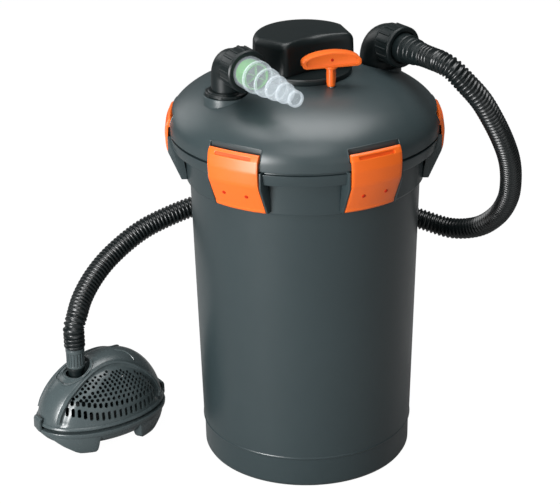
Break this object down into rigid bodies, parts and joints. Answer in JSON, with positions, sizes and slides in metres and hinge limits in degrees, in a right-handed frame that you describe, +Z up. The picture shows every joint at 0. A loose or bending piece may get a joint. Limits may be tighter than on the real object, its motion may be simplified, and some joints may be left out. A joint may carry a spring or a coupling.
{
  "type": "canister pond filter",
  "caption": "Pressure filter for a garden pond: tapered canister with a clipped domed lid, lamp head, lift handle, two hose elbows and a ribbed hose to its pump.",
  "frame": {"origin": "middle of the canister's underside, on the ground", "axes": "+Z up, -Y towards the lid's front, where the lift handle stands, +X towards the inlet elbow"},
  "size_m": [0.6773, 0.4557, 0.627],
  "materials": {
    "canister_slate": "satin, fine grain",
    "fitting_black": "satin gloss",
    "clip_orange": "satin gloss",
    "clear_plastic": "clear, slightly milky",
    "indicator_green": "satin",
    "rubber_black": "matt",
    "foam_blue": "open cell foam",
    "white_plastic": "matt",
    "quartz": "clear",
    "stainless": "brushed"
  },
  "bodies": {
    "canister": {"canister_tub": "canister_slate", "lid_dome": "canister_slate", "lid_seal": "rubber_black", "upper_plate": "fitting_black", "centre_tube": "fitting_black", "foam_disc_1": "foam_blue", "foam_disc_2": "foam_blue", "foam_disc_3": "foam_blue", "foam_disc_4": "foam_blue", "rod_bush": "fitting_black", "outlet_retaining_ring": "fitting_black", "inlet_elbow": "fitting_black", "inlet_seal": "rubber_black", "inlet_lock_nut": "fitting_black", "inlet_gasket": "rubber_black", "inlet_hose_tail": "fitting_black", "supply_hose": "rubber_black", "pump_upper_shell": "canister_slate", "pump_lower_shell": "canister_slate", "pump_motor": "fitting_black", "impeller_housing": "fitting_black", "pump_outlet_ball": "fitting_black", "pump_socket_ring": "canister_slate", "pump_hose_tail": "fitting_black", "pump_cable_gland": "fitting_black"},
    "clip_1": {"clip_1": "clip_orange"},
    "clip_2": {"clip_2": "clip_orange"},
    "clip_3": {"clip_3": "clip_orange"},
    "clip_4": {"clip_4": "clip_orange"},
    "clip_5": {"clip_5": "clip_orange"},
    "clip_6": {"clip_6": "clip_orange"},
    "uv_head": {"uv_head_cover": "fitting_black", "uv_head_base": "fitting_black", "uv_head_seal": "rubber_black", "uv_ballast": "white_plastic", "uv_lamp_socket": "white_plastic", "uv_lamp": "quartz", "quartz_sleeve": "quartz", "uv_cable_gland": "fitting_black"},
    "cleaning": {"cleaning_handle": "clip_orange", "cleaning_rod": "stainless", "rod_nut": "stainless", "cleaning_plate": "fitting_black"},
    "outlet": {"outlet_elbow": "fitting_black", "outlet_seal": "rubber_black", "outlet_gasket": "rubber_black", "outlet_hose_tail": "clear_plastic", "flow_indicator": "indicator_green"},
    "outlet_nut": {"outlet_union_nut": "fitting_black"},
    "inlet_nut": {"inlet_union_nut": "fitting_black"},
    "rotor": {"impeller": "white_plastic", "impeller_shaft": "white_plastic"},
    "latch_left": {"pump_latch_left": "canister_slate"},
    "latch_right": {"pump_latch_right": "canister_slate"}
  },
  "joints": [
    {"name": "clip_1_hinge", "type": "hinge", "parent": "canister", "child": "clip_1", "pos_m": [0, -0.165, 0.426], "axis": [1, 0, 0], "range_deg": [0, 95]},
    {"name": "clip_2_hinge", "type": "hinge", "parent": "canister", "child": "clip_2", "pos_m": [0.14289, -0.0825, 0.426], "axis": [0.5, 0.866, 0], "range_deg": [0, 95]},
    {"name": "clip_3_hinge", "type": "hinge", "parent": "canister", "child": "clip_3", "pos_m": [0.14289, 0.0825, 0.426], "axis": [-0.5, 0.866, 0], "range_deg": [0, 95]},
    {"name": "clip_4_hinge", "type": "hinge", "parent": "canister", "child": "clip_4", "pos_m": [0, 0.165, 0.426], "axis": [-1, 0, 0], "range_deg": [0, 95]},
    {"name": "clip_5_hinge", "type": "hinge", "parent": "canister", "child": "clip_5", "pos_m": [-0.14289, 0.0825, 0.426], "axis": [-0.5, -0.866, 0], "range_deg": [0, 95]},
    {"name": "clip_6_hinge", "type": "hinge", "parent": "canister", "child": "clip_6", "pos_m": [-0.14289, -0.0825, 0.426], "axis": [0.5, -0.866, 0], "range_deg": [0, 95]},
    {"name": "cleaning_lift", "type": "slide", "parent": "canister", "child": "cleaning", "axis": [0, 0, 1], "range_m": [0, 0.12], "deforming": ["foam_disc_1", "foam_disc_2", "foam_disc_3", "foam_disc_4"]},
    {"name": "outlet_swivel", "type": "hinge", "parent": "canister", "child": "outlet", "pos_m": [-0.119, 0, 0.56], "axis": [0, 0, 1], "range_deg": [-200, 20]},
    {"name": "outlet_nut_spin", "type": "hinge", "parent": "outlet", "child": "outlet_nut", "pos_m": [-0.119, -0.045, 0.599], "axis": [0, -1, 0], "continuous": true},
    {"name": "inlet_nut_spin", "type": "hinge", "parent": "canister", "child": "inlet_nut", "pos_m": [0.12318, -0.03978, 0.589], "axis": [0.1045, -0.9945, 0], "continuous": true},
    {"name": "uv_head_twist", "type": "hinge", "parent": "canister", "child": "uv_head", "pos_m": [0, 0, 0.565], "axis": [0, 0, 1], "range_deg": [-30, 0]},
    {"name": "impeller_spin", "type": "hinge", "parent": "canister", "child": "rotor", "pos_m": [-0.28981, 0.16621, 0.056], "axis": [0.9976, 0.0698, 0], "continuous": true},
    {"name": "latch_left_hinge", "type": "hinge", "parent": "canister", "child": "latch_left", "pos_m": [-0.35595, 0.16159, 0.0355], "axis": [0.0698, -0.9976, 0], "range_deg": [0, 40]},
    {"name": "latch_right_hinge", "type": "hinge", "parent": "canister", "child": "latch_right", "pos_m": [-0.15245, 0.17581, 0.0355], "axis": [-0.0698, 0.9976, 0], "range_deg": [0, 40]}
  ]
}
